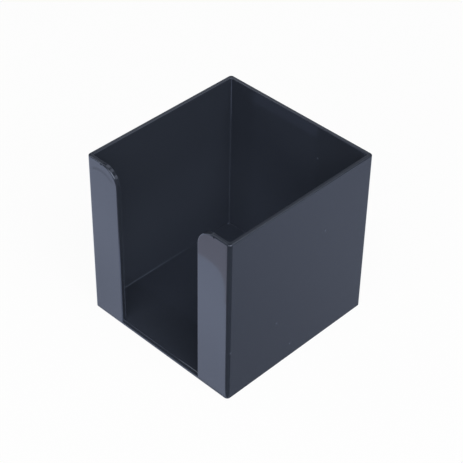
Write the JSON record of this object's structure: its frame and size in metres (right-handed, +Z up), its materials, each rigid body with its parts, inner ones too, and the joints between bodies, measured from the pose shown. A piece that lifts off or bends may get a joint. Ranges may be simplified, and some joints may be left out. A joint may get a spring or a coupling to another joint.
{
  "type": "note box",
  "caption": "Open-topped square box for loose note paper, with a tall finger slot down its front wall.",
  "frame": {"origin": "middle of the underside, on the table", "axes": "+Z up, -Y out through the front wall with the finger slot, +X to the right as seen from the front"},
  "size_m": [0.09, 0.092, 0.091],
  "materials": {
    "black_plastic": "glossy, bluish black, opaque"
  },
  "bodies": {
    "root": {"note_box": "black_plastic"}
  },
  "joints": []
}
